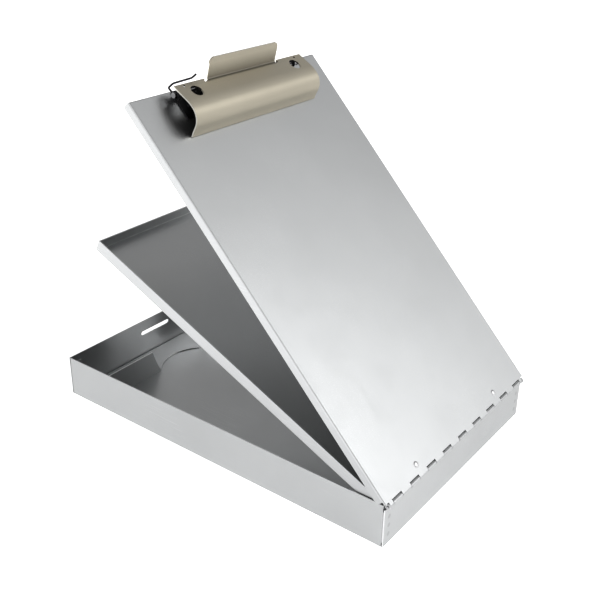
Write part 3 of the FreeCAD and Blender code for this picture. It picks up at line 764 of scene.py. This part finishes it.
ON_PLATE = ((-LATCH_COIL, 0.0), (-LATCH_COIL, -0.0014), (-0.0005, -0.0024), (-0.0005, -0.007))
ON_LID_EDGE = ((0.0, LATCH_COIL), (0.0015, LATCH_COIL), (0.0025, -0.001))
latch_legs = [[by_latch_pin(*place, x) for place in leg]
              for leg, x in ((ON_PLATE, -LATCH_COIL_HALF), (ON_LID_EDGE, LATCH_COIL_HALF))]
latch_coil_turn = (Matrix.Rotation(LID_OPEN, 3, "X") @ Matrix.Rotation(math.pi / 2, 3, "Y")
                   @ Matrix.Rotation(-math.pi / 2, 3, "Z")).to_euler()
latch_spring = sprung_wire("latch_coil_spring", latch_legs, {
    "Turns": LATCH_COIL_TURNS, "Coil Radius": LATCH_COIL, "Coil Length": 2 * LATCH_COIL_HALF,
    "Wire Radius": LATCH_WIRE, "Bend": LATCH_WIRE_BEND, "Place": by_latch_pin(0, 0, -LATCH_COIL_HALF),
    "Turn": latch_coil_turn, "Finish": spring_wire})
fit(latch_spring, "lid", "spring_black", "latch_spring")

# ---- Floor, light and camera ----
# The clipboard stands on a plain white floor in a white room. One large soft light in front and to the
# right sweeps over the lid, and a pale card on the left brightens its folded edge.

FLOOR_HALF = 8.0
FLOOR_GLOW_SEEN = 0.75
# The floor glows on the light that things receive: brightest far to the left, dimmer under the clipboard
# and to its right. The dimming near the clipboard is a painted shadow of it.
FLOOR_GLOW_LEFT, FLOOR_GLOW_SHADOWED, FLOOR_GLOW_RIGHT = 1.05, 0.58, 0.38
GLOW_FALLS_LEFT, GLOW_FALLS_RIGHT = (-0.36, -0.18), (-0.05, 0.3)
SKY = 0.5
BACKDROP = 1.0
CONTRAST = 0.8
# Each soft light: its angle round the room, its angle above the floor, its softness and its strength.
SOFTBOX = (math.radians(-54), math.radians(27), 0.05, 2.65)
CARD = (math.radians(195), math.radians(20), 0.3, 1.0)
CAMERA_AT = Vector((-0.5952, -0.4513, 0.4835))
CAMERA_AROUND, CAMERA_DOWN, CAMERA_ROLL = math.radians(37.0), math.radians(26.16), math.radians(0.75)
CAMERA_LENS, CAMERA_SENSOR = 55.98, 36.0
mesh = bpy.data.meshes.new("floor")
mesh.from_pydata([(-FLOOR_HALF, -FLOOR_HALF, 0), (FLOOR_HALF, -FLOOR_HALF, 0),
                  (FLOOR_HALF, FLOOR_HALF, 0), (-FLOOR_HALF, FLOOR_HALF, 0)], [], [(0, 1, 2, 3)])
white_floor = bpy.data.materials.new("white_floor")
white_floor.use_nodes = True
floor_tree = white_floor.node_tree
floor_shader = floor_tree.nodes["Principled BSDF"]
floor_shader.inputs["Base Color"].default_value = (0.85, 0.85, 0.85, 1)
floor_shader.inputs["Roughness"].default_value = 0.9
floor_shader.inputs["Emission Color"].default_value = (1, 1, 1, 1)
new_piece("floor", mesh, [white_floor])


def by_ray(tree, indirect, seen):
    """One strength for what the camera sees and another for the light that things receive."""
    ray, mix = tree.nodes.new("ShaderNodeLightPath"), tree.nodes.new("ShaderNodeMix")
    tree.links.new(ray.outputs["Is Camera Ray"], mix.inputs["Factor"])
    tree.links.new(indirect, mix.inputs["A"])
    mix.inputs["B"].default_value = seen
    return mix.outputs["Result"]


floor_place = floor_tree.nodes.new("ShaderNodeTexCoord")
floor_parts = floor_tree.nodes.new("ShaderNodeSeparateXYZ")
floor_tree.links.new(floor_place.outputs["Object"], floor_parts.inputs[0])
across_floor = floor_parts.outputs["X"]
left_glow = spread(floor_tree, across_floor, GLOW_FALLS_LEFT, (FLOOR_GLOW_LEFT, FLOOR_GLOW_SHADOWED))
right_loss = spread(floor_tree, across_floor, GLOW_FALLS_RIGHT,
                    (0.0, FLOOR_GLOW_RIGHT - FLOOR_GLOW_SHADOWED))
floor_glow = by_ray(floor_tree, maths(floor_tree, "ADD", left_glow, right_loss), FLOOR_GLOW_SEEN)
floor_tree.links.new(floor_glow, floor_shader.inputs["Emission Strength"])

world = bpy.data.worlds.new("studio")
bpy.context.scene.world = world
world.use_nodes = True
room = world.node_tree
background = room.nodes["Background"]
background.inputs["Color"].default_value = (1, 1, 1, 1)
sight = room.nodes.new("ShaderNodeTexCoord")


def soft_light(around, above, softness, strength):
    """A soft round glow on the room's wall, strongest in the given direction."""
    facing = room.nodes.new("ShaderNodeVectorMath")
    facing.operation = "DOT_PRODUCT"
    level = math.cos(above)
    facing.inputs[1].default_value = (level * math.cos(around), level * math.sin(around), math.sin(above))
    room.links.new(sight.outputs["Generated"], facing.inputs[0])
    away = maths(room, "SUBTRACT", 1.0, facing.outputs["Value"])
    falling = maths(room, "EXPONENT", maths(room, "DIVIDE", away, -softness), 0.0)
    return maths(room, "MULTIPLY", falling, strength)


lights = maths(room, "ADD", maths(room, "ADD", soft_light(*SOFTBOX), soft_light(*CARD)), SKY)
room.links.new(by_ray(room, lights, BACKDROP), background.inputs["Strength"])

towards = Vector((math.cos(CAMERA_AROUND) * math.cos(CAMERA_DOWN),
                  math.sin(CAMERA_AROUND) * math.cos(CAMERA_DOWN), -math.sin(CAMERA_DOWN)))
right = towards.cross(Vector((0, 0, 1))).normalized()
tilt = Matrix.Rotation(CAMERA_ROLL, 3, -towards)
axes = Matrix((tilt @ right, tilt @ right.cross(towards), -towards)).transposed()
camera = bpy.data.objects.new("camera", bpy.data.cameras.new("camera"))
camera.data.lens = CAMERA_LENS
camera.data.sensor_width = CAMERA_SENSOR
camera.matrix_world = Matrix.Translation(CAMERA_AT) @ axes.to_4x4()
bpy.context.scene.collection.objects.link(camera)
bpy.context.scene.camera = camera
bpy.context.scene.view_settings.view_transform = "Standard"
bpy.context.scene.view_settings.gamma = CONTRAST
